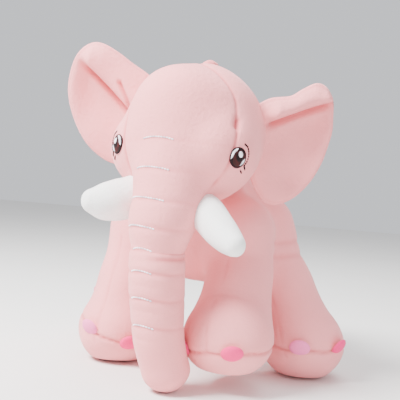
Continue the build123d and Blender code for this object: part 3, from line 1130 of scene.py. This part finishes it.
class ELEPHANT_OT_eyes(Step):
    """Embroider the two eyes with their highlights and lashes"""
    bl_idname = "elephant.eyes"
    bl_label = "Eyes"

    def make(self):
        shape = head_shape()
        for eye, side in SIDES.items():
            flip = np.array([side, 1])
            layers = (
                ("outline", oval_outline((0, 0), (9.0, 9.6)), 0.7, "dark_thread"),
                ("iris", oval_outline((0.3, -0.2), (7.4, 8.2)), 1.0, "brown_thread"),
                ("pupil", oval_outline((0.6, 1.2), (4.6, 5.0)), 1.3, "dark_thread"),
                ("rim_light", crescent((0, 0), (8.2, 8.8), 100, 190, 1.6), 1.35, "white_thread"),
                ("highlight", oval_outline((1.2, 3.4), (2.7, 3.1), 15), 1.6, "white_thread"),
                ("low_light", crescent((0.4, -0.2), (6.4, 7.0), -75, 5, 2.4), 1.5, "white_thread"),
            )
            for label, outline, height, kind in layers:
                piece = patch(f"{eye}_eye_{label}", shape, eye, outline * flip, height)
                dress(piece, kind)
                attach(piece, "head")
            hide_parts(eye + "_eye")
            self.lashes(shape, eye, flip)

    def lashes(self, shape, eye, flip):
        """A beaded line beside the eye, and a flick below it."""
        strokes = []
        bow = np.array([(6.5, 12.5), (9.5, 10.5), (11.2, 6.5), (11.6, 2.0), (10.6, -2.6), (8.6, -6.4)])
        for spot in smooth_path(bow, 4)[::2]:
            strokes.append(oval_outline(spot, (0.95, 1.15), count=12))
        strokes.append(crescent((10.2, -9.5), (5.5, 5.5), 190, 262, 1.6))
        strokes.append(oval_outline((9.6, -8.6), (1.0, 3.4), 38, count=14))
        first = None
        for number, outline in enumerate(strokes):
            piece = patch(f"{eye}_lash_{number + 1}", shape, eye, outline * flip, 0.8, rings=3)
            dress(piece, "dark_thread")
            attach(piece, "head")
            first = first or piece
        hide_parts(eye + "_lashes")


def thread(name, line, radius, kind="white_thread"):
    """A row of raised stitches along a line on the plush."""
    points, faces = [], []
    sides = 8
    total = np.concatenate([[0], np.cumsum(np.linalg.norm(np.diff(line, axis=0), axis=1))])
    count = max(2, int(total[-1] / 2.4))
    for stitch in range(count):
        a, b = (stitch + 0.08) / count * total[-1], (stitch + 0.92) / count * total[-1]
        start = np.array([np.interp(a, total, line[:, k]) for k in range(3)])
        end = np.array([np.interp(b, total, line[:, k]) for k in range(3)])
        way = unit(end - start)
        side = unit(np.cross(way, (0, 0, 1)))
        over = np.cross(side, way)
        offset = len(points)
        rings = np.linspace(0, 1, 7)
        for share in rings:
            size = radius * max(0.15, sin(pi * (0.08 + 0.84 * share)) ** 0.5)
            middle = start + (end - start) * share + over * 0.12 * sin(pi * share)
            for k in range(sides):
                angle = 2 * pi * k / sides
                points.append(middle + size * (cos(angle) * side + sin(angle) * over))
        faces += band_faces(len(rings) - 1, sides, offset)
        faces.append(tuple(offset + k for k in range(sides))[::-1])
        faces.append(tuple(offset + (len(rings) - 1) * sides + k for k in range(sides)))
    piece = closed(new_object(name, points, faces))
    dress(piece, kind)
    return piece


def row_line(shape, relief, height, half, turn, middle):
    """A level row over the front of the trunk, on its skin, slightly arched."""
    spots = []
    for share in np.linspace(-1, 1, 13):
        start = np.array([*middle[:2], height - 2.0 * share**2 + 0.8])
        way = unit((sin(radians(turn)) + share * half / 26, -cos(radians(turn)), 0))
        spots.append(surface_from(shape, start, way))
    spots = np.array(spots)
    push, _ = relief(spots)
    outward = spots - np.array([*middle[:2], 0])
    outward[:, 2] = 0
    outward /= np.linalg.norm(outward, axis=1)[:, None]
    return spots + outward * (push + 0.25)[:, None]


class ELEPHANT_OT_stitches(Step):
    """Stitch the white thread rows across the forehead and trunk"""
    bl_idname = "elephant.stitches"
    bl_label = "Trunk stitches"

    def make(self):
        head, trunk = head_shape(), trunk_shape()
        split = (CREASE[2] + BEND[2]) / 2
        relief = head_relief(head)
        rows = zip(TRUNK_ROWS, ROW_HALF_WIDTHS, ROW_TURNS)
        for number, (height, half, turn) in enumerate(rows):
            if height > CREASE[2] + 6:
                line = row_line(head, relief, height, half, turn, (CREASE[0], CREASE[1] + 10))
            else:
                line = row_line(trunk, trunk_relief, height, half, turn, trunk_middle(height))
            name = f"trunk_row_{number + 1}"
            piece = thread(name, line, 0.7)
            if height > CREASE[2] + 6:
                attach(piece, "head")
                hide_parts("forehead_stitches")
            elif height > split:
                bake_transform(piece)
                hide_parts("trunk_stitches")
            else:
                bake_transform(piece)
                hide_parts("tip_stitches")


class ELEPHANT_OT_crown(Step):
    """Gather the seams on the crown and tie them with dark thread"""
    bl_idname = "elephant.crown"
    bl_label = "Crown seam"

    def make(self):
        low, high = node_box("crown_seam")
        middle = (low + high) / 2
        bunch = oval(middle - [0, 0, 2.5], (7.5, 9, 6))
        shape = joined([bunch, oval(middle + [2.5, -6, -2.5], (4.5, 6, 5))], 3)

        def relief(points):
            side = points - middle
            pucker = 0.5 * np.sin(7 * np.arctan2(side[:, 1], side[:, 0]))
            # Painted shade: the whole gather is a little darker.
            return pucker * np.clip(1 - side[:, 2] / 3, 0, 1), 0.3 + 0 * pucker

        room = ROOM["crown"]
        piece = sculpt("crown_gather", shape, low - room, high + room, CELLS["crown"], relief)
        dress(piece, "pink_plush")
        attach(piece, "head")
        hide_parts("crown_seam")
        for number, (x, y) in enumerate(((0.5, -6.5), (4.5, -9.5))):
            start = middle + np.array([x - 1.6, y, 0.2 - 0.08 * abs(y)])
            line = smooth_path(np.array([start, start + [1.6, -0.6, 0.35], start + [3.2, -1.6, 0]]), 4)
            surface = on_shape(head_shape(), HEAD_MIDDLE, [unit(spot - HEAD_MIDDLE) for spot in line])
            surface = surface + 0.7 * (surface - HEAD_MIDDLE) / HEAD_RADIUS
            tie = thread(f"crown_stitch_{number + 1}", surface, 0.5, "dark_thread")
            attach(tie, "head")


class ELEPHANT_OT_tail(Step):
    """Sew the small tail and its tuft"""
    bl_idname = "elephant.tail"
    bl_label = "Tail"

    def make(self):
        root = joint_place("tail_swing")
        low, high = node_box("tail_tuft")
        end = (low + high) / 2
        middle = (root + end) / 2 + np.array([0, 5, 4])
        shape = limb((root + [0, -10, 3], root + [0, 1, 0], middle, end + [0, 0, 6]), (7.5, 6.3, 5.2, 4.6))
        first, last = np.minimum(root, end) - ROOM["tail"], np.maximum(root, end) + ROOM["tail"]
        piece = sculpt("tail_skin", shape, first, last, CELLS["tail"], plain)
        tuft_shape = joined([oval(end, (8, 8, 12.5)), oval(end + [0, 0, 7], (5.5, 5.5, 6))], 4)

        def locks(points):
            side = points - end
            angle = np.arctan2(side[:, 1], side[:, 0])
            flute = 0.9 * np.sin(9 * angle) * np.clip(1 - np.abs(side[:, 2]) / 13, 0, 1)
            # Painted shade in the grooves between the locks.
            return flute, np.clip(-0.5 * flute, 0, 1)

        tuft = sculpt("tail_tuft_skin", tuft_shape, low - 6, high + 8, CELLS["tuft"], locks)
        for skin in (piece, tuft):
            dress(skin, "pink_plush")
            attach(skin, "tail")
        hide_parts("tail_cover", "tail_filling")
        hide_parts("tail_tuft")


# ---- stage
# Each light: its place and width in metres, and its power in watts.
LIGHTS = {
    "key": ((-0.5, -0.72, 1.1), 0.55, 70),
    "fill": ((0.95, -0.75, 0.55), 1.0, 5),
    "top": ((0.1, 0.35, 1.3), 1.0, 14),
}
LIT_PLACE = (0, 0, 0.15)
SKY_COLOUR, SKY_STRENGTH = (0.93, 0.95, 1, 1), 0.9
FLOOR_HALF_WIDTH = 3.0
CAMERA_PLACE = (0.2882, -0.6158, 0.175)
CAMERA_LENS, CAMERA_SENSOR = 61.2, 36
# How far the camera is turned to the left, dips below level and leans, in degrees.
CAMERA_TURN, CAMERA_DIP, CAMERA_ROLL = 25, 1.1, 3.83


class ELEPHANT_OT_stage(Step):
    """Set up the floor, the soft lights and the camera"""
    bl_idname = "elephant.stage"
    bl_label = "Stage"

    def make(self):
        mesh = bpy.data.meshes.new("floor")
        half = FLOOR_HALF_WIDTH
        mesh.from_pydata([(-half, -half, 0), (half, -half, 0), (half, half, 0), (-half, half, 0)],
                         [], [(0, 1, 2, 3)])
        floor = put_in_scene("floor", mesh)
        floor.data.materials.append(finish_of("floor"))
        for name, values in LIGHTS.items():
            self.light(name, *values)
        world = bpy.data.worlds.new("studio")
        world.use_nodes = True
        sky = world.node_tree.nodes["Background"].inputs
        sky["Color"].default_value = SKY_COLOUR
        sky["Strength"].default_value = SKY_STRENGTH
        bpy.context.scene.world = world
        self.camera()

    def light(self, name, place, size, power):
        lamp = bpy.data.lights.new(name, "AREA")
        lamp.shape = "DISK"
        lamp.size = size
        lamp.energy = power
        holder = put_in_scene(name, lamp)
        holder.location = place
        aim = Vector(LIT_PLACE) - Vector(place)
        holder.rotation_euler = aim.to_track_quat("-Z", "Y").to_euler()

    def camera(self):
        """The camera stands to the elephant's front left, level with its cheeks."""
        lens = bpy.data.cameras.new("camera")
        lens.sensor_width = CAMERA_SENSOR
        lens.lens = CAMERA_LENS
        holder = put_in_scene("camera", lens)
        turn, dip, roll = radians(CAMERA_TURN), radians(CAMERA_DIP), radians(CAMERA_ROLL)
        holder.location = CAMERA_PLACE
        ahead = Vector((-sin(turn) * cos(dip), cos(turn) * cos(dip), -sin(dip)))
        level = ahead.to_track_quat("-Z", "Y").to_matrix().to_4x4()
        holder.rotation_euler = (level @ Matrix.Rotation(roll, 4, "Z")).to_euler()
        bpy.context.scene.camera = holder


# ---- the panel and registration
STEPS = (ELEPHANT_OT_head, ELEPHANT_OT_trunk, ELEPHANT_OT_body, ELEPHANT_OT_toenails, ELEPHANT_OT_ears,
         ELEPHANT_OT_tusks, ELEPHANT_OT_eyes, ELEPHANT_OT_stitches, ELEPHANT_OT_crown, ELEPHANT_OT_tail,
         ELEPHANT_OT_stage)


class ELEPHANT_PT_panel(bpy.types.Panel):
    """The workshop's steps and the sizes and colours they use"""
    bl_label = "Stuffed Elephant"
    bl_idname = "ELEPHANT_PT_panel"
    bl_space_type = "VIEW_3D"
    bl_region_type = "UI"
    bl_category = "Elephant"

    def draw(self, context):
        for name in ElephantLook.__annotations__:
            self.layout.prop(context.scene.elephant_look, name)
        for step in STEPS:
            self.layout.operator(step.bl_idname)


CLASSES = (ElephantLook, *STEPS, ELEPHANT_PT_panel)


def register():
    for item in CLASSES:
        bpy.utils.register_class(item)
    bpy.types.Scene.elephant_look = bpy.props.PointerProperty(type=ElephantLook)


def unregister():
    del bpy.types.Scene.elephant_look
    for item in reversed(CLASSES):
        bpy.utils.unregister_class(item)


def main():
    register()
    for step in STEPS:
        group, name = step.bl_idname.split(".")
        getattr(getattr(bpy.ops, group), name)()


if __name__ == "__main__":
    main()
